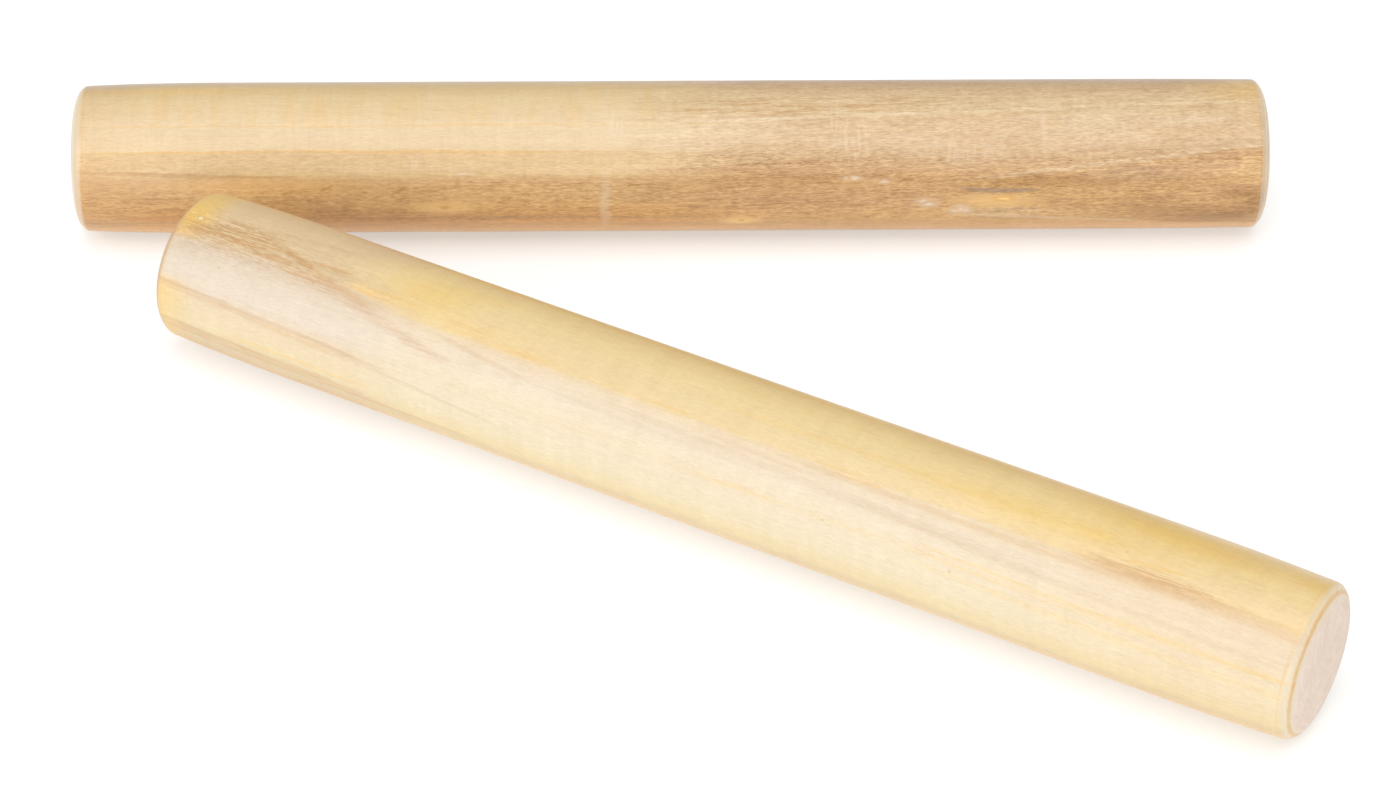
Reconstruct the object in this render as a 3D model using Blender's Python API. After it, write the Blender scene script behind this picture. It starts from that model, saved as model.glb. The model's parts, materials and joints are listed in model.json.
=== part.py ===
"""A pair of claves: two loose, solid, turned hardwood sticks lying on a table.

Both sticks are turned alike: straight over most of the length, sanded a little thinner towards
each end, then rounded over to a flat end-grain face. The resonator's right end is thinned less.
Nothing joins the two sticks. The resonator lies along +X at the back. The striker lies in front
of it at a slant, with its left end close to the resonator, and is the one that is picked up.

Row frame: metres, +Z up, origin on the table under the middle of the pair's bounding box.
"""

import math

import bmesh
import bpy

# One stick.
LENGTH = 0.200
DIAMETER = 0.0253
END_EASE = 0.00045  # how much the radius has fallen where the round-over starts
BLUNT_EASE = 0.00015  # the same at the resonator's right end, which is sanded less
EASE_LENGTH = 0.022  # stretch beside each round-over on which it falls
ROUND_LENGTH = 0.00225  # round-over along the stick
ROUND_DEPTH = 0.0046  # round-over towards the axis

# How the striker lies beside the resonator, centre to centre.
STRIKER_SHIFT_X = 0.0075
STRIKER_SHIFT_Y = -0.0801
STRIKER_TURN = math.radians(-30.5)  # about +Z, so its right end comes forward

# Facets.
SIDES = 64
EASE_STEPS = 4
ROUND_STEPS = 6

# Woods.
RESONATOR_COLOUR = (0.66, 0.44, 0.23, 1.0)
STRIKER_COLOUR = (0.83, 0.68, 0.42, 1.0)
WOOD_ROUGHNESS = 0.42

RADIUS = DIAMETER / 2


def half_profile(end_ease):
    """(distance from the middle, radius) from the straight stretch out to the flat end face."""
    round_start = LENGTH / 2 - ROUND_LENGTH
    ease_start = round_start - EASE_LENGTH
    eased = RADIUS - end_ease
    points = []
    for step in range(EASE_STEPS):
        share = step / EASE_STEPS
        points.append((ease_start + EASE_LENGTH * share, RADIUS - end_ease * share**2))
    for step in range(ROUND_STEPS + 1):
        turn = math.pi / 2 * step / ROUND_STEPS
        along = round_start + ROUND_LENGTH * math.sin(turn)
        points.append((along, eased - ROUND_DEPTH * (1 - math.cos(turn))))
    return points


def full_profile(right_ease):
    """The whole outline, from the left end face to the right one."""
    left = [(-along, radius) for along, radius in reversed(half_profile(END_EASE))]
    return left + half_profile(right_ease)


def turned_stick_mesh(name, right_ease):
    """Turns the outline about the stick's own X axis and closes both ends with flat faces."""
    shape = bmesh.new()
    outline = full_profile(right_ease)
    line = [shape.verts.new((along, 0, -radius)) for along, radius in outline]
    edges = [shape.edges.new(pair) for pair in zip(line, line[1:])]
    bmesh.ops.spin(
        shape,
        geom=line + edges,
        axis=(1, 0, 0),
        cent=(0, 0, 0),
        angle=2 * math.pi,
        steps=SIDES,
        use_merge=True,
    )
    end_edges = [edge for edge in shape.edges if edge.is_boundary]
    bmesh.ops.holes_fill(shape, edges=end_edges, sides=SIDES)
    bmesh.ops.recalc_face_normals(shape, faces=shape.faces)
    mesh = bpy.data.meshes.new(name)
    shape.to_mesh(mesh)
    shape.free()
    mesh.shade_smooth()
    mesh.set_sharp_from_angle(angle=math.radians(30))
    return mesh


def wood(name, colour):
    """Plain stand-in for clear-lacquered hardwood."""
    material = bpy.data.materials.new(name)
    material.use_nodes = True
    shader = material.node_tree.nodes["Principled BSDF"]
    shader.inputs["Base Color"].default_value = colour
    shader.inputs["Roughness"].default_value = WOOD_ROUGHNESS
    shader.inputs["Metallic"].default_value = 0.0
    return material


def clave(name, material, right_ease, location, turn):
    """One stick, with its origin at its own middle."""
    mesh = turned_stick_mesh(name, right_ease)
    mesh.materials.append(material)
    stick = bpy.data.objects.new(name, mesh)
    stick.location = location
    stick.rotation_euler = (0, 0, turn)
    bpy.context.scene.collection.objects.link(stick)
    return stick


def reach_forward(turn):
    """How far a stick turned by this angle about +Z reaches from its centre along Y."""
    return max(
        along * abs(math.sin(turn)) + radius * math.cos(turn)
        for along, radius in half_profile(END_EASE)
    )


def clear_scene():
    for thing in list(bpy.data.objects):
        bpy.data.objects.remove(thing)


def build():
    clear_scene()
    # The resonator sets the pair's width and its back edge, and the striker its front edge.
    back = RADIUS
    front = STRIKER_SHIFT_Y - reach_forward(STRIKER_TURN)
    resonator_y = -(back + front) / 2
    clave(
        "resonator_clave",
        wood("resonator_wood", RESONATOR_COLOUR),
        right_ease=BLUNT_EASE,
        location=(0, resonator_y, RADIUS),
        turn=0,
    )
    clave(
        "striker_clave",
        wood("striker_wood", STRIKER_COLOUR),
        right_ease=END_EASE,
        location=(STRIKER_SHIFT_X, resonator_y + STRIKER_SHIFT_Y, RADIUS),
        turn=STRIKER_TURN,
    )


build()
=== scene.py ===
"""The finished look of a pair of turned hardwood claves lying on a white table.

Each packed stick is replaced by a finely turned mesh of the same size, with the slight unevenness
of hand sanding. Its wood is painted by shader nodes that work in the stick's own coordinates:
millimetres along it, and degrees around it, where 0 is its top and 90 is the front.
"""

import json
import math

import bpy
from mathutils import Matrix, Vector, noise


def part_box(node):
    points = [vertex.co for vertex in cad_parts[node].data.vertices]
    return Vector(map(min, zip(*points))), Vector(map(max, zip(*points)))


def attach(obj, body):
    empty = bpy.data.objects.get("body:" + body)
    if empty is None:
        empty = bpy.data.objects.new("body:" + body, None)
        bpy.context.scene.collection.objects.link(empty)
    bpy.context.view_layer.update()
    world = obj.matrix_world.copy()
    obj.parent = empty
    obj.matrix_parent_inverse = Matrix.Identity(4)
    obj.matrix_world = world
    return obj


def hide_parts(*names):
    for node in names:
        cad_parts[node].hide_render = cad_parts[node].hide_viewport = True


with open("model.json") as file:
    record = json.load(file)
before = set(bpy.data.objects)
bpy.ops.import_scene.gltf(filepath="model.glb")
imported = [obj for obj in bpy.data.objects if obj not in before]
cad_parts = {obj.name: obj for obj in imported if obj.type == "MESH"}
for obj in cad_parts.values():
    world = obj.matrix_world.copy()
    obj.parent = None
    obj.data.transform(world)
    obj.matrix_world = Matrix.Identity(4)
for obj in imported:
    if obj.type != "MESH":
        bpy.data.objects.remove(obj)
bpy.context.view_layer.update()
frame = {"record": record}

MM = 0.001

# Turned outline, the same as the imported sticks'.
END_EASE = 0.45 * MM  # how much thinner the stick is where the round-over starts
BLUNT_EASE = 0.15 * MM  # the same at the resonator's right end
EASE_LENGTH = 22.0 * MM  # stretch beside each round-over on which it thins
ROUND_LENGTH = 2.25 * MM  # round-over along the stick
ROUND_DEPTH = 4.6 * MM  # round-over towards the axis

# Facets of the turned meshes.
SIDES = 192
STRAIGHT_STEP = 1.0 * MM
EASE_STEPS = 24
ROUND_STEPS = 16
FACE_RINGS = 10

# Hand sanding: how far the surface dips below the true outline.
SANDING_DEPTH = 0.035 * MM
SANDING_LENGTH = 7.0 * MM
SANDING_WIDTH = 6.0 * MM

# Lacquer, and the relief of the wood under it in millimetres.
LACQUER = 0.4
LACQUER_ROUGHNESS = 0.28
FIBRE_RELIEF = 0.016
RIPPLE_RELIEF = 0.010

# Roughness of the wood, and what fibres, cloudy places, scuffs and bare wood add to it.
WOOD_ROUGHNESS = 0.27
FIBRE_ROUGHNESS = 0.16
CLOUD_ROUGHNESS = 0.14
SCUFF_ROUGHNESS = 0.3
BARE_ROUGHNESS = 0.25

# Patterns that follow the grain, as (length, width, detail, seed), with the sizes in millimetres.
FIBRES = (1.1, 0.17, 2, 71)
PORES = (0.9, 0.10, 1, 77)
THREADS = (7.0, 0.28, 2, 73)
STRANDS = (22.0, 0.7, 2, 83)
PATCHES = (2.4, 0.7, 2, 85)
CLOUDS = (15.0, 3.2, 3, 87)
BANDS = (2.6, 16.0, 1, 75)
RIPPLE = (0.6, 5.0, 2, 79)
SWINGS = (36.0, 5.0, 1, 11)

# How far the grain bends what is painted: round the stick in degrees, by its long swings and its
# threads, and along the stick in millimetres, by its clouds.
SLOW_WAVE = 4.0
QUICK_WAVE = 3.0
ALONG_WAVE = 1.5

# Growth rings on the end faces, in millimetres: (back, up) of their centre, their width, and how
# far they wander.
RING_CENTRE = (4.0, 3.0)
RING_WIDTH = 1.7
RING_WANDER = 5.0

# Round the end faces, in millimetres from the axis: where the bare wood fades, where its pale edge
# fades, the orange line at the worn edge of the lacquer, and a painted highlight line outside it.
BARE_FADE = (9.9, 10.6)
PALE_FADE = (10.6, 11.0)
ORANGE_LINE = (10.95, 11.2)
HIGHLIGHT_LINE = (11.55, 11.75)

# Round the rims, in millimetres from the end: where their tint fades, and a faint line beside it.
# The tint is a pale cream painted highlight, except on the striker's left rim, which is tinted tan.
RIM_FADE = (1.5, 2.1)
RIM_LINE = (2.2, 2.35)

# The resonator's right half: how its rings climb, in degrees a millimetre, and its ochre wedge.
CLIMB = 0.175
WEDGE_TIP = (45.0, 78.0)
WEDGE_SLOPE = 0.51

# Degrees round a stick run from FIRST_TURN at its back, round its top, front and bottom.
MIDDLE_TURN = 50.0
FIRST_TURN = MIDDLE_TURN - 180.0

# How much red, green and blue the wood loses where its fibres are browner.
BROWNING = (0.80, 1.05, 1.40)

# Tones of the wood, as linear colours.
OCHRE = (0.68, 0.43, 0.13)
AMBER = (0.60, 0.35, 0.08)
APRICOT = (0.74, 0.44, 0.17)
ORANGE = (0.58, 0.30, 0.06)
TAN = (0.47, 0.28, 0.115)
BROWN = (0.40, 0.215, 0.075)
DARK_BROWN = (0.26, 0.115, 0.025)
GREY_BROWN = (0.25, 0.165, 0.105)
ROSE_BROWN = (0.46, 0.32, 0.20)
CREAM = (0.62, 0.49, 0.31)
YELLOW = (0.66, 0.43, 0.10)
KNOT_YELLOW = (0.78, 0.50, 0.18)
# Whitish: the rubbed lacquer of scuffs, and the painted highlight line round the right end faces.
SCUFF_AND_HIGHLIGHT = (0.70, 0.58, 0.44)
END_ROSE = (0.68, 0.55, 0.46)
END_CREAM = (0.62, 0.53, 0.39)

# Camera.
CAMERA_PLACE = (-0.0111, -0.5625, 0.4495)
CAMERA_YAW = math.radians(-1.5)
CAMERA_PITCH = math.radians(37.99)
CAMERA_ROLL = math.radians(0.6)
CAMERA_LENS = 116.3
SENSOR_WIDTH = 36.0
CLIP_START = 0.01

# Table.
TABLE_HALF_SIZE = 3.0
TABLE_TONE = (0.6, 0.6, 0.6)
TABLE_ROUGHNESS = 0.8
TABLE_SPECULAR = 0.1
TABLE_GLOW = 0.42

# Light: the sky, and softboxes as (name, place, size, power).
WHITE = (1.0, 1.0, 1.0)
SKY_STRENGTH = 0.65
SOFTBOXES = (
    ("left_wall", (-1.0, -0.62, 0.65), (1.0, 1.15), 8),
    ("front_low", (0.3, -1.5, 0.35), (1.2, 0.6), 7),
    ("overhead", (0.05, -0.35, 1.2), (0.9, 1.1), 8),
)


class Stick:
    """Where one packed clave lies: its middle, its own axes and its size, all from the frame."""

    def __init__(self, part, right_ease):
        self.part = part
        self.right_ease = right_ease
        self.node = part + "_clave"
        mounts = {mount["name"]: Vector(mount["pos_m"]) for mount in frame["record"]["mounts"]}
        left = mounts[part + "_left_end"]
        right = mounts[part + "_right_end"]
        low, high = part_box(self.node)
        self.centre = (left + right) / 2
        self.half = (right - left).length / 2
        self.radius = (high.z - low.z) / 2
        self.along = (right - left).normalized()
        self.up = Vector((0, 0, 1))
        self.front = self.along.cross(self.up)
        self.yaw = math.atan2(self.along.y, self.along.x)

    def outline(self, end_ease):
        """(distance along, radius) from the middle of the stick to the middle of its end face."""
        round_start = self.half - ROUND_LENGTH
        ease_start = round_start - EASE_LENGTH
        eased = self.radius - end_ease
        straight_steps = round(ease_start / STRAIGHT_STEP)
        points = [(ease_start * k / straight_steps, self.radius) for k in range(straight_steps)]
        for k in range(EASE_STEPS):
            share = k / EASE_STEPS
            points.append((ease_start + EASE_LENGTH * share, self.radius - end_ease * share**2))
        for k in range(ROUND_STEPS + 1):
            turn = math.pi / 2 * k / ROUND_STEPS
            inward = ROUND_DEPTH * (1 - math.cos(turn))
            points.append((round_start + ROUND_LENGTH * math.sin(turn), eased - inward))
        face = points[-1][1]
        points += [(self.half, face * (1 - k / FACE_RINGS)) for k in range(1, FACE_RINGS)]
        return points

    def sanded(self, distance, radius, angle, seed):
        """The radius after sanding, which only ever takes wood away."""
        around = Vector((radius * math.cos(angle), radius * math.sin(angle))) / SANDING_WIDTH
        wave = noise.noise(Vector((distance / SANDING_LENGTH + seed, around.x, around.y)))
        return radius - SANDING_DEPTH * (0.5 + 0.5 * wave) * radius / self.radius

    def point(self, distance, radius, angle):
        """A place on the stick: angle is 0 at its top and a quarter turn at its front."""
        outward = self.up * math.cos(angle) + self.front * math.sin(angle)
        return self.centre + self.along * distance + outward * radius

    def mesh(self, seed):
        left = reversed(self.outline(END_EASE)[1:])
        outline = [(-distance, radius) for distance, radius in left] + self.outline(self.right_ease)
        vertices = []
        for distance, radius in outline:
            for side in range(SIDES):
                angle = 2 * math.pi * side / SIDES
                worn = self.sanded(distance, radius, angle, seed)
                vertices.append(self.point(distance, worn, angle))
        faces = []
        for ring in range(len(outline) - 1):
            for side in range(SIDES):
                here = ring * SIDES + side
                beside = ring * SIDES + (side + 1) % SIDES
                faces.append((here, beside, beside + SIDES, here + SIDES))
        last_ring = (len(outline) - 1) * SIDES
        left_middle = len(vertices)
        vertices.append(self.point(-self.half, 0, 0))
        vertices.append(self.point(self.half, 0, 0))
        for side in range(SIDES):
            beside = (side + 1) % SIDES
            faces.append((left_middle, beside, side))
            faces.append((left_middle + 1, last_ring + side, last_ring + beside))
        mesh = bpy.data.meshes.new(self.part + "_wood")
        mesh.from_pydata([vertex[:] for vertex in vertices], [], faces)
        mesh.shade_smooth()
        mesh.update()
        return mesh


def opaque(tone):
    """A tone as the red, green, blue and alpha that a colour socket takes."""
    return (*tone, 1.0)


class Field:
    """A number that varies over the surface: one output of a node, with arithmetic."""

    def __init__(self, paint, socket):
        self.paint = paint
        self.socket = socket

    def __add__(self, other):
        return self.paint.number("ADD", self, other)

    def __sub__(self, other):
        return self.paint.number("SUBTRACT", self, other)

    def __rsub__(self, other):
        return self.paint.number("SUBTRACT", other, self)

    def __mul__(self, other):
        return self.paint.number("MULTIPLY", self, other)

    def __truediv__(self, other):
        return self.paint.number("DIVIDE", self, other)

    def __abs__(self):
        return self.paint.number("ABSOLUTE", self)


class Paint:
    """A stick's material: adds nodes to it, so that each pattern reads as a formula.

    along is in millimetres from the stick's middle, turn in degrees round it. A tone is laid over
    the colour so far wherever its share, a field from 0 to 1, is above 0.
    """

    def __init__(self, stick, seed):
        self.seed = seed
        self.material = bpy.data.materials.new(stick.part + "_lacquered_wood")
        self.material.use_nodes = True
        self.tree = self.material.node_tree
        self.shader = self.tree.nodes["Principled BSDF"]
        place = self.node("ShaderNodeMapping")
        place.vector_type = "TEXTURE"
        place.inputs["Location"].default_value = stick.centre
        place.inputs["Rotation"].default_value = (0, 0, stick.yaw)
        place.inputs["Scale"].default_value = (MM, MM, MM)
        self.link(self.node("ShaderNodeTexCoord").outputs["Object"], place.inputs["Vector"])
        split = self.node("ShaderNodeSeparateXYZ")
        self.link(place.outputs["Vector"], split.inputs["Vector"])
        self.along = Field(self, split.outputs["X"])
        self.back = Field(self, split.outputs["Y"])
        self.up = Field(self, split.outputs["Z"])
        self.depth = self.number("SQRT", self.back * self.back + self.up * self.up)
        self.inset = stick.half / MM - abs(self.along)
        self.turn = self.degrees_round()
        self.scuffs = 0.0

    def node(self, kind):
        return self.tree.nodes.new(kind)

    def link(self, value, socket):
        """Sets a socket to a field, a node's output or a plain value."""
        if isinstance(value, Field):
            value = value.socket
        if isinstance(value, bpy.types.NodeSocket):
            self.tree.links.new(value, socket)
        else:
            socket.default_value = value

    def number(self, operation, *values):
        node = self.node("ShaderNodeMath")
        node.operation = operation
        for socket, value in zip(node.inputs, values):
            self.link(value, socket)
        return Field(self, node.outputs["Value"])

    def vector(self, operation, *values):
        node = self.node("ShaderNodeVectorMath")
        node.operation = operation
        for socket, value in zip(node.inputs, values):
            self.link(value, socket)
        return node

    def combine(self, *values):
        node = self.node("ShaderNodeCombineXYZ")
        for socket, value in zip(node.inputs, values):
            self.link(value, socket)
        return node.outputs["Vector"]

    def degrees_round(self):
        """Degrees round the stick from its top, -130 to 230, so that the join is at the back."""
        middle = math.radians(MIDDLE_TURN)
        toward = self.up * math.cos(middle) - self.back * math.sin(middle)
        beside = self.up * -math.sin(middle) - self.back * math.cos(middle)
        return self.number("ARCTAN2", beside, toward) * math.degrees(1) + MIDDLE_TURN

    def follow(self, grain_turn):
        """Sets the way that the grain runs, and makes the patterns that follow it."""
        radians = grain_turn * math.radians(1)
        across = self.depth * self.number("SINE", radians)
        out = self.depth * self.number("COSINE", radians)
        self.grain_place = self.combine(self.along, across, out)
        self.fibres = self.grain(*FIBRES)
        self.threads = self.grain(*THREADS)
        self.strands = self.grain(*STRANDS)
        self.patches = self.grain(*PATCHES)
        self.clouds = self.grain(*CLOUDS)
        self.bands = self.grain(*BANDS)
        self.ripple = self.grain(*RIPPLE)
        slow = (self.grain(*SWINGS) - 0.5) * SLOW_WAVE
        quick = (self.threads - 0.5) * QUICK_WAVE
        self.wavy_turn = self.turn + slow + quick
        self.wavy_along = (self.clouds - 0.5) * ALONG_WAVE + self.along
        self.spot_place = self.combine(self.wavy_along, self.wavy_turn, 1.0)

    def grain(self, length, width, detail, seed):
        """Noise from 0 to 1, drawn out along the grain: length and width are in millimetres."""
        scale = (1 / length, 1 / width, 1 / width)
        offset = (self.seed + seed, 0.0, 0.0)
        texture = self.node("ShaderNodeTexNoise")
        place = self.vector("MULTIPLY_ADD", self.grain_place, scale, offset)
        self.link(place.outputs["Vector"], texture.inputs["Vector"])
        texture.inputs["Scale"].default_value = 1.0
        texture.inputs["Detail"].default_value = detail
        return Field(self, texture.outputs["Fac"])

    def step(self, value, start, end, first, last):
        """first up to start and last from end on, with a smooth step between them."""
        node = self.node("ShaderNodeMapRange")
        node.interpolation_type = "SMOOTHSTEP"
        for socket, given in zip(node.inputs, (value, start, end, first, last)):
            self.link(given, socket)
        return Field(self, node.outputs["Result"])

    def rise(self, value, start, end):
        """0 up to start and 1 from end on."""
        return self.step(value, start, end, 0.0, 1.0)

    def fall(self, value, start, end):
        """1 up to start and 0 from end on."""
        return self.step(value, start, end, 1.0, 0.0)

    def window(self, value, start, end, fade):
        """1 from start to end, fading to 0 just outside them."""
        reach = (end - start) / 2
        return self.fall(abs(value - (start + end) / 2), reach, reach + fade)

    def band(self, start, end, fade):
        """1 between two angles round the stick."""
        return self.window(self.wavy_turn, start, end, fade)

    def stretch(self, start, end, fade):
        """1 between two places along the stick."""
        return self.window(self.wavy_along, start, end, fade)

    def spot(self, along, turn, half_length, half_turn, solid=0.0):
        """An oval mark: 1 over its solid part and 0 outside it."""
        scale = (1 / half_length, 1 / half_turn, 0.0)
        offset = (-along / half_length, -turn / half_turn, 0.0)
        place = self.vector("MULTIPLY_ADD", self.spot_place, scale, offset)
        distance = self.vector("LENGTH", place.outputs["Vector"]).outputs["Value"]
        return self.fall(distance, solid, 1.0)

    def slope(self, along_factor, turn_factor, constant):
        """A number that changes evenly along and round the stick."""
        factors = (along_factor, turn_factor, constant)
        return Field(self, self.vector("DOT_PRODUCT", self.spot_place, factors).outputs["Value"])

    def streak(self, start, end, width, bow=0.0):
        """A tapered line from start to end, each (along, turn), which bows by so many degrees."""
        half = (end[0] - start[0]) / 2
        middle = (start[0] + end[0]) / 2
        rise = (end[1] - start[1]) / (end[0] - start[0])
        beside = self.slope(-rise / width, 1 / width, (rise * start[0] - start[1]) / width)
        ahead = self.slope(1 / half, 0.0, -middle / half)
        square = ahead * ahead
        if bow:
            beside = beside + (square - 1) * (bow / width)
        return self.fall(square * square + beside * beside, 0.0, 1.0)

    def ramp(self, *tones):
        """Colour round the stick, from (turn, tone) pairs."""
        node = self.node("ShaderNodeValToRGB")
        self.link((self.wavy_turn - FIRST_TURN) / 360, node.inputs["Fac"])
        elements = node.color_ramp.elements
        while len(elements) < len(tones):
            elements.new(1.0)
        for element, (turn, tone) in zip(elements, tones):
            element.position = (turn - FIRST_TURN) / 360
            element.color = opaque(tone)
        return node.outputs["Color"]

    def mix(self, colour, other, share):
        node = self.node("ShaderNodeMix")
        node.data_type = "RGBA"
        self.link(share, node.inputs[0])
        self.link(colour, node.inputs[6])
        self.link(other, node.inputs[7])
        return node.outputs[2]

    def lay(self, tone, share):
        """Lays a tone over the colour so far, by a share from 0 to 1."""
        self.colour = self.mix(self.colour, opaque(tone), share)

    def brown(self, share):
        """Browns the colour so far by a field that is near 0, or bleaches it where that is below."""
        loss = self.vector("SCALE", BROWNING)
        self.link(share, loss.inputs["Scale"])
        kept = self.vector("SUBTRACT", (1, 1, 1), loss.outputs["Vector"])
        colour = self.vector("MULTIPLY", self.colour, kept.outputs["Vector"])
        self.colour = colour.outputs["Vector"]

    def scuff(self, share):
        """Whitish rubbed lacquer, which is rougher as well."""
        self.lay(SCUFF_AND_HIGHLIGHT, share)
        self.scuffs = share + self.scuffs


def knot(p, along, turn, half_length, half_turn):
    """A small round knot: a yellow halo with an orange core."""
    p.lay(KNOT_YELLOW, p.spot(along, turn, half_length, half_turn, 0.15) * 0.80)
    p.lay(AMBER, p.spot(along, turn - 1.5, half_length * 0.42, half_turn * 0.42) * 0.40)
    p.lay(ORANGE, p.spot(along, turn, half_length * 0.15, half_turn * 0.26, 0.4) * 0.90)


def climb(p):
    """How far the resonator's growth rings have climbed, in degrees: they start at its middle."""
    return p.number("MAXIMUM", p.along, 0) * CLIMB


def resonator_left_wood(p):
    """Cream sapwood that turns tan below, with straight lines between the growth rings."""
    p.colour = p.ramp(
        (-130, (0.50, 0.37, 0.19)),
        (-60, (0.48, 0.35, 0.17)),
        (-25, (0.45, 0.305, 0.145)),
        (-10, (0.565, 0.40, 0.18)),
        (5, (0.605, 0.455, 0.245)),
        (20, (0.59, 0.44, 0.25)),
        (36, (0.55, 0.41, 0.235)),
        (51, (0.59, 0.435, 0.25)),
        (53, (0.57, 0.395, 0.205)),
        (69, (0.60, 0.415, 0.205)),
        (72, (0.565, 0.36, 0.17)),
        (85, (0.58, 0.35, 0.145)),
        (98, (0.58, 0.32, 0.10)),
        (109, (0.52, 0.25, 0.055)),
        (113, (0.58, 0.29, 0.08)),
        (119, (0.57, 0.295, 0.095)),
        (129, (0.68, 0.365, 0.125)),
        (150, (0.60, 0.40, 0.19)),
        (190, (0.53, 0.37, 0.18)),
        (230, (0.50, 0.37, 0.19)),
    )
    p.lay(ROSE_BROWN, p.spot(-90, -26, 34, 16, 0.3) * 0.55)
    p.lay(OCHRE, p.spot(-80, -8, 26, 10) * 0.45)
    p.lay(OCHRE, p.band(-14, 26, 10) * p.rise(p.bands, 0.50, 0.75) * 0.22)
    p.lay(AMBER, p.streak((-112, 31), (18, 31), 1.2) * 0.32)
    p.lay(AMBER, p.streak((-112, 51.5), (-5, 51.8), 1.5) * 0.55)
    p.lay(BROWN, p.streak((-112, 65.5), (-60, 70), 2.0, 0.6) * 0.50)
    p.lay(APRICOT, p.spot(-68, 78, 22, 12, 0.2) * 0.50)
    p.lay(BROWN, p.spot(-60, 103, 26, 12) * p.rise(p.strands, 0.35, 0.6) * 0.30)
    p.lay(BROWN, p.spot(-99, 95, 28, 45) * 0.60)
    p.lay(TAN, p.fall(p.along, -98, -84) * 0.20)
    p.lay(BROWN, p.spot(-99, 120, 14, 14, 0.2) * 0.60)
    p.lay(TAN, p.spot(-4, 80, 22, 20) * 0.60)
    p.lay(BROWN, p.streak((-70, 109), (12, 110), 1.8, -0.8) * 0.60)
    p.lay(BROWN, p.streak((-104, 119), (-78, 114), 2.0) * 0.65)
    p.lay(BROWN, p.streak((-59, 81), (-56, 75.5), 1.2) * 0.6)


def resonator_right_wood(p):
    """Browner wood that the cream wood runs out into."""
    left = p.colour
    right = p.ramp(
        (-130, (0.45, 0.31, 0.16)),
        (-60, (0.42, 0.28, 0.14)),
        (-25, (0.38, 0.235, 0.115)),
        (-10, (0.50, 0.33, 0.165)),
        (5, (0.555, 0.395, 0.22)),
        (20, (0.54, 0.39, 0.22)),
        (33, (0.475, 0.32, 0.17)),
        (53, (0.475, 0.31, 0.165)),
        (66, (0.435, 0.25, 0.095)),
        (80, (0.47, 0.27, 0.11)),
        (95, (0.49, 0.275, 0.11)),
        (108, (0.53, 0.295, 0.10)),
        (118, (0.52, 0.285, 0.09)),
        (129, (0.60, 0.32, 0.115)),
        (150, (0.55, 0.35, 0.17)),
        (190, (0.48, 0.33, 0.17)),
        (230, (0.45, 0.31, 0.16)),
    )
    feathered = p.along + (p.strands - 0.5) * 24 + (p.clouds - 0.5) * 26
    p.colour = p.mix(left, right, p.rise(feathered, -12, 20))


def uneven(p):
    """Shares that break a mark up along the grain: into threads, into strands and into clouds."""
    return p.rise(p.threads, 0.46, 0.60), p.rise(p.strands, 0.40, 0.60), p.rise(p.clouds, 0.40, 0.60)


def resonator_rings(p):
    """Growth rings that climb towards the right end, with browner wood between them."""
    ring_turn = p.wavy_turn + climb(p)
    thready, stringy, cloudy = uneven(p)
    right_half = p.rise(p.along, 0, 14)
    p.lay(BROWN, p.spot(28, -22, 34, 26) * 0.35)
    p.lay(TAN, p.window(ring_turn, 13, 25, 6) * p.stretch(8, 36, 16) * thready * 0.65)
    p.lay(CREAM, p.window(ring_turn, 28.4, 29.6, 1.6) * p.rise(p.along, -16, 6) * 0.55)
    p.lay(TAN, p.window(ring_turn, 33, 58, 6) * right_half * cloudy * 0.45)
    p.lay(CREAM, p.window(ring_turn, 36, 60, 6) * right_half * thready * 0.30)
    p.lay(BROWN, p.spot(24, 68, 26, 12, 0.2) * stringy * 0.60)
    p.lay(BROWN, p.spot(12, 93, 26, 16) * thready * 0.45)
    p.lay(OCHRE, p.spot(45, 103, 36, 10) * stringy * 0.35)


def resonator_wedge(p):
    """A wedge of ochre and brown that opens towards the right end, under a cream line."""
    thready, stringy, cloudy = uneven(p)
    tip_along, tip_turn = WEDGE_TIP
    wedge_turn = p.wavy_turn + (p.along - tip_along) * WEDGE_SLOPE - tip_turn
    past_tip = p.rise(p.along, tip_along - 4, tip_along + 12)
    wedge = p.window(wedge_turn, 1.0, 60, 1.4) * past_tip * p.fall(p.wavy_turn, 112, 120)
    p.lay(CREAM, p.window(wedge_turn, -2.6, -1.2, 1.6) * past_tip * 0.32)
    p.lay(BROWN, wedge * 0.42)
    p.lay(OCHRE, wedge * stringy * 0.25)
    p.lay(BROWN, p.window(wedge_turn, 1.2, 8, 4) * past_tip * thready * 0.60)
    p.lay(DARK_BROWN, p.spot(62, 75, 18, 8, 0.2) * 0.42)
    p.lay(BROWN, p.spot(84, 73, 18, 10, 0.2) * 0.45)
    p.lay(GREY_BROWN, p.spot(77, 71, 13, 9, 0.2) * 0.22)
    p.lay(DARK_BROWN, p.spot(84, 104, 16, 14, 0.2) * 0.32)
    p.lay(CREAM, p.spot(55, 104, 12, 9, 0.2) * 0.25)
    p.lay(DARK_BROWN, p.spot(97, 100, 32, 26, 0.1) * cloudy * 0.80)
    p.lay(DARK_BROWN, p.spot(94, 110, 26, 18, 0.2) * 0.50)
    p.lay(OCHRE, p.spot(97, -6, 14, 28) * 0.55)
    p.lay(DARK_BROWN, p.streak((80, 117), (106, 121), 2.0) * 0.5)


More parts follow.
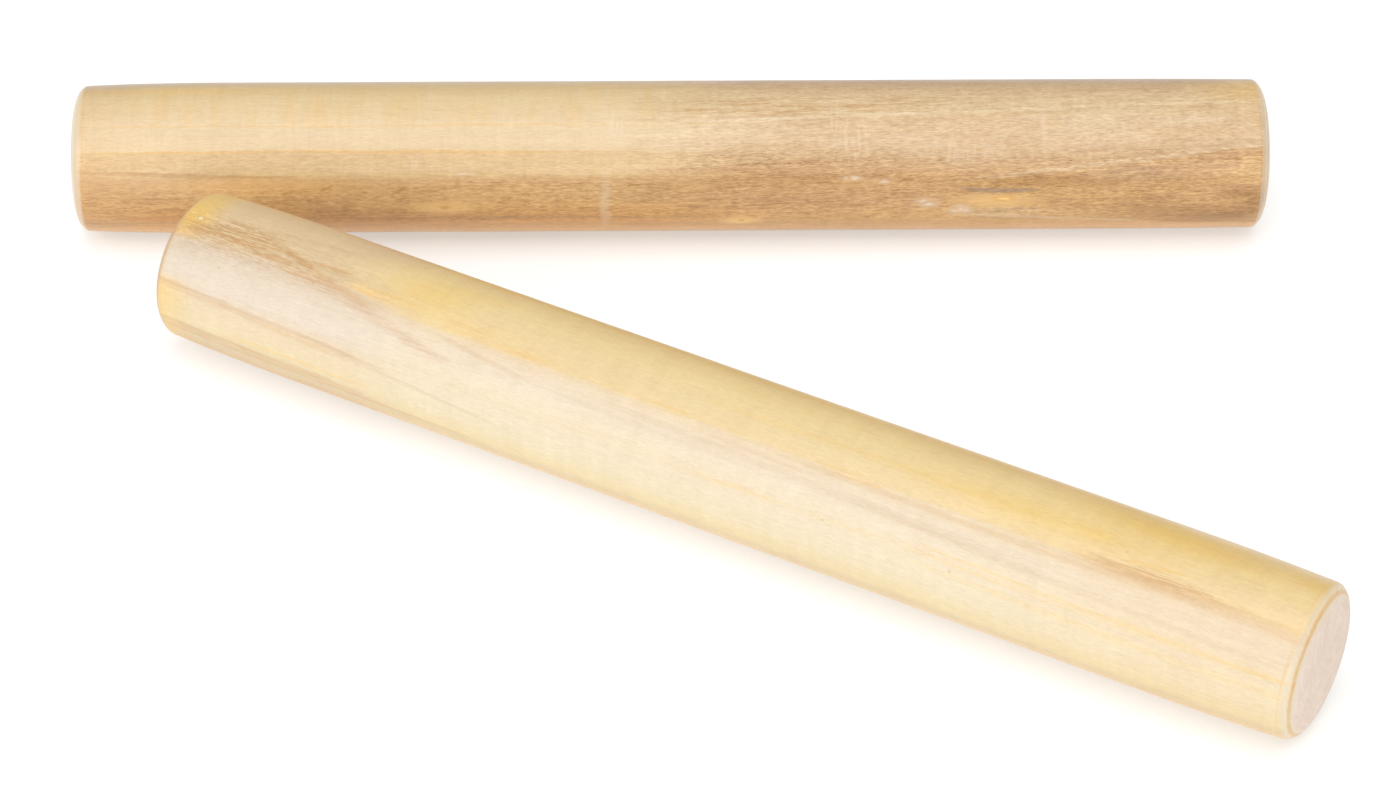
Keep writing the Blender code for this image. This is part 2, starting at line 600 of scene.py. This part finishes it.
def long_knot(p):
    """A lens-shaped knot with a ringed eye, and a grey-brown line above it."""
    fibrous = p.rise(p.threads + p.fibres, 0.65, 1.10)
    broken = p.rise(p.fibres, 0.3, 0.5)
    p.lay(KNOT_YELLOW, p.spot(54, 92, 11, 9, 0.2) * fibrous * 0.58)
    p.lay(ORANGE, p.spot(55.3, 90.3, 2.8, 2.8, 0.4) * 0.70)
    p.lay(KNOT_YELLOW, p.spot(55.4, 90.5, 1.6, 1.5, 0.3) * 0.9)
    p.lay(GREY_BROWN, p.streak((46.5, 80.5), (62.5, 82), 2.6, 1.5) * broken * 0.80)


def resonator_scuffs(p):
    """Places where the lacquer is rubbed white: small speckled ones, then faint crosswise ones."""
    speckled = p.rise(p.fibres + p.patches, 0.86, 1.14)
    for along, turn, half_length, half_turn in (
        (-34.5, 68.5, 3.0, 1.2),
        (30, 73, 2.6, 3.0),
        (34.5, 75.5, 3.2, 2.8),
        (42.5, 94, 3.2, 7.0),
        (48, 101, 3.2, 8.0),
    ):
        p.scuff(p.spot(along, turn, half_length, half_turn) * speckled * 0.95)
    p.scuff(p.streak((46, 106), (80, 118), 2.2) * p.rise(p.fibres, 0.35, 0.6) * 0.45)
    crosswise = p.rise(p.ripple, 0.46, 0.68)
    patchy = crosswise + p.rise(p.patches, 0.4, 0.6)
    p.scuff(p.spot(-11.1, 96, 1.3, 44, 0.2) * 0.28)
    p.scuff(p.spot(-9.5, 28, 4, 36) * crosswise * 0.30)
    p.scuff(p.spot(-43.5, 58, 2.6, 20) * crosswise * 0.35)
    p.scuff(p.spot(28.5, 34, 7.0, 42, 0.2) * crosswise * 0.28)
    p.scuff(p.spot(42, -2, 6.0, 12) * crosswise * 0.25)
    p.scuff(p.spot(48, 52, 13.0, 14, 0.2) * patchy * 0.18)
    p.scuff(p.spot(61.9, 30, 0.8, 34) * 0.20)


def resonator_coarseness(p):
    """How strongly the fibres show: most in the brown wood, least in the cream wood and below."""
    tan_start = p.rise(p.along, -56, -30) * -8 + 80
    tan_wood = p.rise(p.wavy_turn, tan_start - 4, tan_start + 6) * 0.50
    peach_wood = p.rise(p.wavy_turn, 46, 56) * 0.22
    brown_wood = p.rise(p.along, -14, 14) * (p.band(60, 112, 12) * 0.45 + 0.48)
    underside = p.fall(p.wavy_turn, 108, 116) * 0.6 + 0.4
    return p.number("MAXIMUM", peach_wood + tan_wood, brown_wood) * underside + 0.25


def paint_resonator(stick):
    p = Paint(stick, seed=3.0)
    p.follow(p.turn + climb(p))
    resonator_left_wood(p)
    resonator_right_wood(p)
    resonator_rings(p)
    resonator_wedge(p)
    lay_fibres(p, resonator_coarseness(p), ripple=0.06)
    knot(p, -38, 97, 8, 9)
    knot(p, 11.5, 114, 5, 7.5)
    long_knot(p)
    resonator_scuffs(p)
    # The resonator's left rim gets a pale cream painted highlight.
    lay_ends(p, left_rim=END_CREAM, left_share=0.5)
    varnish(p)
    return p.material


def striker_wood(p):
    """Pale yellow wood with a rosy cream stripe down its front."""
    main = p.ramp(
        (-130, (0.56, 0.44, 0.25)),
        (-60, (0.57, 0.42, 0.19)),
        (-25, (0.64, 0.44, 0.165)),
        (-10, (0.66, 0.48, 0.205)),
        (5, (0.645, 0.49, 0.235)),
        (20, (0.60, 0.46, 0.245)),
        (33, (0.59, 0.445, 0.23)),
        (35.5, (0.57, 0.45, 0.295)),
        (50, (0.535, 0.44, 0.32)),
        (65, (0.575, 0.475, 0.33)),
        (80, (0.605, 0.515, 0.365)),
        (95, (0.62, 0.52, 0.34)),
        (110, (0.63, 0.50, 0.27)),
        (119, (0.555, 0.43, 0.235)),
        (129, (0.68, 0.47, 0.23)),
        (150, (0.66, 0.50, 0.29)),
        (190, (0.60, 0.46, 0.26)),
        (230, (0.56, 0.44, 0.25)),
    )
    left = p.ramp(
        (-130, (0.54, 0.41, 0.24)),
        (-25, (0.585, 0.40, 0.205)),
        (-10, (0.60, 0.425, 0.225)),
        (5, (0.58, 0.425, 0.245)),
        (20, (0.51, 0.37, 0.205)),
        (33, (0.50, 0.39, 0.275)),
        (50, (0.515, 0.43, 0.33)),
        (66, (0.54, 0.445, 0.34)),
        (74, (0.575, 0.46, 0.31)),
        (95, (0.61, 0.50, 0.305)),
        (110, (0.565, 0.435, 0.255)),
        (119, (0.535, 0.40, 0.22)),
        (129, (0.58, 0.35, 0.125)),
        (160, (0.58, 0.43, 0.25)),
        (230, (0.54, 0.41, 0.24)),
    )
    off_swirl = p.number("MINIMUM", abs(p.wavy_turn - 8), 30)
    reach = p.along - off_swirl * 0.3 + (p.clouds - 0.5) * 12
    p.colour = p.mix(left, main, p.rise(reach, -74, -57))


def striker_yellow(p):
    """Where the wood is yellowest: in cloudy places, beside the rosy stripe and on the left rim."""
    for along, turn, half_length, half_turn, share in (
        (-52, 10, 12, 20, 0.50),
        (-46, 24, 30, 12, 0.20),
        (-46, -4, 10, 10, 0.30),
        (55, 16, 34, 20, 0.45),
        (64, 15, 5, 7, 0.40),
        (75, -10, 24, 24, 0.85),
        (97, -12, 7, 14, 0.60),
    ):
        p.lay(YELLOW, p.spot(along, turn, half_length, half_turn) * share)
    stringy = p.rise(p.strands, 0.3, 0.6)
    for along, turn, half_length, half_turn in (
        (-58, 25, 8, 6),
        (-44, 28, 8, 5),
        (-33, 31, 8, 4),
        (-7, 33, 9, 3.5),
        (23, 34, 7, 3),
    ):
        p.lay(AMBER, p.spot(along, turn, half_length, half_turn) * stringy * 0.38)
    p.lay(AMBER, p.rise(p.along, 45, 80) * 0.11)
    p.lay(YELLOW, p.fall(p.wavy_along, -96, -91) * p.band(-60, 14, 10) * 0.80)
    p.lay(AMBER, p.fall(p.wavy_along, -97, -91) * p.band(17, 28, 6) * 0.55)
    p.lay(YELLOW, p.fall(p.wavy_along, -98, -90) * p.band(70, 130, 10) * 0.50)


def striker_swirl(p):
    """Brown fibres at the left end that close in a V round the start of the yellow wood."""
    fibres = p.rise(p.threads * 1.5 + p.fibres * 0.5, 0.90, 1.12)
    p.lay(TAN, p.spot(-88, 18, 13, 19, 0.4) * fibres * 0.75)
    p.lay(BROWN, p.spot(-87, 19, 12, 12, 0.2) * fibres * 0.50)
    p.lay(TAN, p.streak((-82, 9), (-58, 38), 4.5, 4) * 0.50)
    p.lay(BROWN, p.streak((-81, 12), (-67, 29), 4.0, 2) * fibres * 0.55)
    p.lay(TAN, p.streak((-88, 20), (-60, 36), 6.5, 2) * fibres * 0.60)
    p.lay(ROSE_BROWN, p.streak((-74, 28), (-42, 56), 6.0, 2) * fibres * 0.50)
    p.lay(ROSE_BROWN, p.streak((-72, 28), (-42, 55), 4.0, 3) * 0.40)
    p.lay(TAN, p.streak((-74.5, 19), (-65, 16.5), 2.2, -0.5) * 0.60)
    p.lay(OCHRE, p.spot(-62, 26, 6, 5) * 0.55)
    p.lay(ROSE_BROWN, p.streak((-49, 37), (-29, 48), 2.8, 1) * 0.40)
    p.lay(TAN, p.streak((-84, 4), (-66, -3), 2.8) * 0.22)


def striker_streaks(p):
    """Thin lines of the growth rings along the front and down the side."""
    stringy = p.rise(p.strands, 0.38, 0.60)
    wavy = p.rise(p.threads * 1.5 + p.fibres * 0.5, 0.90, 1.08)
    p.lay(ROSE_BROWN, p.streak((-112, 66), (-52, 77), 2.2, -0.7) * 0.50)
    p.lay(TAN, p.streak((-112, 69), (-56, 79), 4.5, -0.7) * stringy * 0.30)
    p.lay(ROSE_BROWN, p.streak((-68, 74), (-32, 88), 2.2) * 0.30)
    p.lay(OCHRE, p.streak((-88, 97), (-56, 97), 2.8, -1.5) * 0.35)
    p.lay(TAN, p.streak((-112, 103), (-54, 106), 4.0, -1) * stringy * 0.55)
    p.lay(TAN, p.streak((-112, 107), (-32, 113), 3.2) * 0.45)
    p.lay(ROSE_BROWN, p.streak((-24, 43), (58, 52), 4.2, 1) * 0.28)
    p.lay(ROSE_BROWN, p.streak((20, 49), (100, 60), 3.4, 1) * 0.28)
    p.lay(ROSE_BROWN, p.streak((0, 41), (22, 43), 2.0) * 0.30)
    p.lay(ROSE_BROWN, p.streak((-32, 49), (16, 53), 2.4) * 0.20)
    p.lay(YELLOW, p.streak((-40, 68), (116, 69), 2.6, 0.8) * stringy * 0.24)
    p.lay(YELLOW, p.streak((36, 63), (62, 65.5), 1.6) * 0.30)
    p.lay(YELLOW, p.streak((50, 67), (112, 70), 2.8, -1) * 0.25)
    p.lay(YELLOW, p.streak((30, 77), (116, 82), 4.0) * 0.18)
    p.lay(AMBER, p.streak((21, 36.5), (31, 36), 1.3) * 0.40)
    p.lay(TAN, p.streak((10, 37), (76, 41), 3.0) * 0.26)
    p.lay(YELLOW, p.streak((-8, 16), (66, 18), 4.0, -1) * stringy * 0.22)
    p.lay(TAN, p.spot(74, 35, 18, 8, 0.2) * 0.40)
    p.lay(BROWN, p.spot(76, 31.5, 15, 8, 0.2) * wavy * 0.50)
    p.lay(TAN, p.streak((60, 33), (116, 38), 7.0) * 0.35)
    p.lay(AMBER, p.streak((69, 26), (80, 22), 1.8) * 0.40)


def striker_specks(p):
    """A few dark pores, and one chip of white at the left end."""
    for along, turn in ((-88, 45), (23, 70), (44.5, 74.5), (69.5, 20)):
        p.lay(GREY_BROWN, p.spot(along, turn, 0.35, 1.3) * 0.5)
    p.scuff(p.spot(-95.4, 13, 0.5, 2.0, 0.4) * 0.9)


def paint_striker(stick):
    p = Paint(stick, seed=17.0)
    p.follow(p.turn)
    striker_wood(p)
    striker_yellow(p)
    striker_swirl(p)
    striker_streaks(p)
    striker_specks(p)
    coarse = p.spot(-90, 20, 40, 30, 0.3) * 0.30 + 0.22
    lay_fibres(p, coarse, ripple=0.03)
    lay_ends(p, left_rim=TAN, left_share=0.8)
    varnish(p)
    return p.material


def lay_fibres(p, coarse, ripple):
    """Fine fibres and pores, soft strands between them, and the ripple left by the lathe.

    Pores only brown the wood. Every other pattern swings about its middle, 0.5, so that it browns
    the wood in some places and bleaches it in others.
    """
    pores = p.rise(p.grain(*PORES), 0.60, 0.74)
    rough = pores * 0.25
    for pattern, strength in (
        (p.fibres, 1.25),
        (p.threads, 0.52),
        (p.strands, 0.24),
        (p.patches, 0.55),
        (p.clouds, 0.24),
    ):
        rough = rough + (pattern - 0.5) * strength
    soft = (p.ripple - 0.5) * (2 * ripple) + (p.bands - 0.5) * 0.10
    p.brown(rough * coarse + soft)
    p.relief = p.fibres * FIBRE_RELIEF + p.ripple * RIPPLE_RELIEF


def lay_ends(p, left_rim, left_share):
    """Bare wood on the end faces, ringed by the lacquer's edge half way round the round-over."""
    rings_back = p.back - RING_CENTRE[0]
    rings_up = p.up - RING_CENTRE[1]
    ring_distance = p.number("SQRT", rings_back * rings_back + rings_up * rings_up)
    rings = p.number("SINE", (ring_distance + p.clouds * RING_WANDER) * (2 * math.pi / RING_WIDTH))
    # The distance from the axis, wandering a little so that the lacquer's edge is uneven.
    edge = p.depth + (p.strands - 0.5) * 0.6 + (p.fibres - 0.5) * 0.3
    face = p.fall(edge, *BARE_FADE)
    rim = p.fall(p.inset, *RIM_FADE)
    right = p.rise(p.along, -1, 1)
    # Rim tints: a pale cream painted highlight on both right rims and on the resonator's left rim,
    # and tan on the striker's left rim.
    p.lay(left_rim, rim * (1 - right) * left_share)
    p.lay(END_CREAM, rim * right * 0.45)
    p.lay(END_CREAM, p.fall(edge, *PALE_FADE) * 0.85)
    p.lay(END_ROSE, face * 0.92)
    p.lay(ORANGE, p.window(edge, *ORANGE_LINE, fade=0.34) * right * (p.clouds * 0.9 + 0.15))
    speckled = p.rise(p.fibres, 0.35, 0.6)
    # A speckled whitish painted highlight just outside the orange line, on the right ends.
    p.lay(SCUFF_AND_HIGHLIGHT, p.window(edge, *HIGHLIGHT_LINE, fade=0.2) * right * speckled * 0.5)
    p.lay(ORANGE, p.window(p.inset, *RIM_LINE, fade=0.18) * 0.15)
    p.brown(face * (rings * 0.025 + (p.threads - 0.5) * 0.35 + (p.clouds - 0.5) * 0.2))
    p.bare = face


def varnish(p):
    """Satin lacquer over the wood, worn through on the sanded end faces."""
    roughness = p.fibres * FIBRE_ROUGHNESS + p.clouds * CLOUD_ROUGHNESS + WOOD_ROUGHNESS
    roughness = roughness + p.scuffs * SCUFF_ROUGHNESS + p.bare * BARE_ROUGHNESS
    p.link(p.colour, p.shader.inputs["Base Color"])
    p.link(roughness, p.shader.inputs["Roughness"])
    p.link((1 - p.bare) * LACQUER, p.shader.inputs["Coat Weight"])
    p.shader.inputs["Coat Roughness"].default_value = LACQUER_ROUGHNESS
    bump = p.node("ShaderNodeBump")
    bump.inputs["Distance"].default_value = MM
    p.link(p.relief, bump.inputs["Height"])
    p.link(bump.outputs["Normal"], p.shader.inputs["Normal"])


def add_stick(part, right_ease, paint, seed):
    """Puts a finely turned and painted stick in the place of a packed one."""
    stick = Stick(part, right_ease)
    piece = bpy.data.objects.new(part + "_wood", stick.mesh(seed))
    bpy.context.scene.collection.objects.link(piece)
    piece.data.materials.append(paint(stick))
    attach(piece, part)
    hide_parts(stick.node)


def add_table():
    size = TABLE_HALF_SIZE
    mesh = bpy.data.meshes.new("table")
    corners = [(-size, -size, 0), (size, -size, 0), (size, size, 0), (-size, size, 0)]
    mesh.from_pydata(corners, [], [(0, 1, 2, 3)])
    material = bpy.data.materials.new("white_table")
    material.use_nodes = True
    shader = material.node_tree.nodes["Principled BSDF"]
    shader.inputs["Base Color"].default_value = opaque(TABLE_TONE)
    shader.inputs["Roughness"].default_value = TABLE_ROUGHNESS
    shader.inputs["Specular IOR Level"].default_value = TABLE_SPECULAR
    shader.inputs["Emission Color"].default_value = opaque(WHITE)
    shader.inputs["Emission Strength"].default_value = TABLE_GLOW
    mesh.materials.append(material)
    table = bpy.data.objects.new("table", mesh)
    bpy.context.scene.collection.objects.link(table)


def add_softbox(name, place, size, power):
    """A rectangular light that faces the claves."""
    data = bpy.data.lights.new(name, "AREA")
    data.shape = "RECTANGLE"
    data.size, data.size_y = size
    data.energy = power
    softbox = bpy.data.objects.new(name, data)
    softbox.location = place
    softbox.rotation_euler = (-Vector(place)).to_track_quat("-Z", "Y").to_euler()
    bpy.context.scene.collection.objects.link(softbox)


def add_sky():
    """An even white light from all round."""
    world = bpy.data.worlds.new("studio")
    world.use_nodes = True
    background = world.node_tree.nodes["Background"]
    background.inputs["Color"].default_value = opaque(WHITE)
    background.inputs["Strength"].default_value = SKY_STRENGTH
    bpy.context.scene.world = world


def add_camera():
    data = bpy.data.cameras.new("camera")
    data.lens = CAMERA_LENS
    data.sensor_width = SENSOR_WIDTH
    data.clip_start = CLIP_START
    camera = bpy.data.objects.new("camera", data)
    camera.location = CAMERA_PLACE
    yaw = Matrix.Rotation(CAMERA_YAW, 3, "Z")
    pitch = Matrix.Rotation(math.pi / 2 - CAMERA_PITCH, 3, "X")
    roll = Matrix.Rotation(CAMERA_ROLL, 3, "Z")
    camera.rotation_euler = (yaw @ pitch @ roll).to_euler()
    bpy.context.scene.collection.objects.link(camera)
    bpy.context.scene.camera = camera


add_camera()
add_table()
add_sky()
for softbox in SOFTBOXES:
    add_softbox(*softbox)
bpy.context.scene.view_settings.view_transform = "Standard"
add_stick("resonator", BLUNT_EASE, paint_resonator, seed=0.0)
add_stick("striker", END_EASE, paint_striker, seed=40.0)
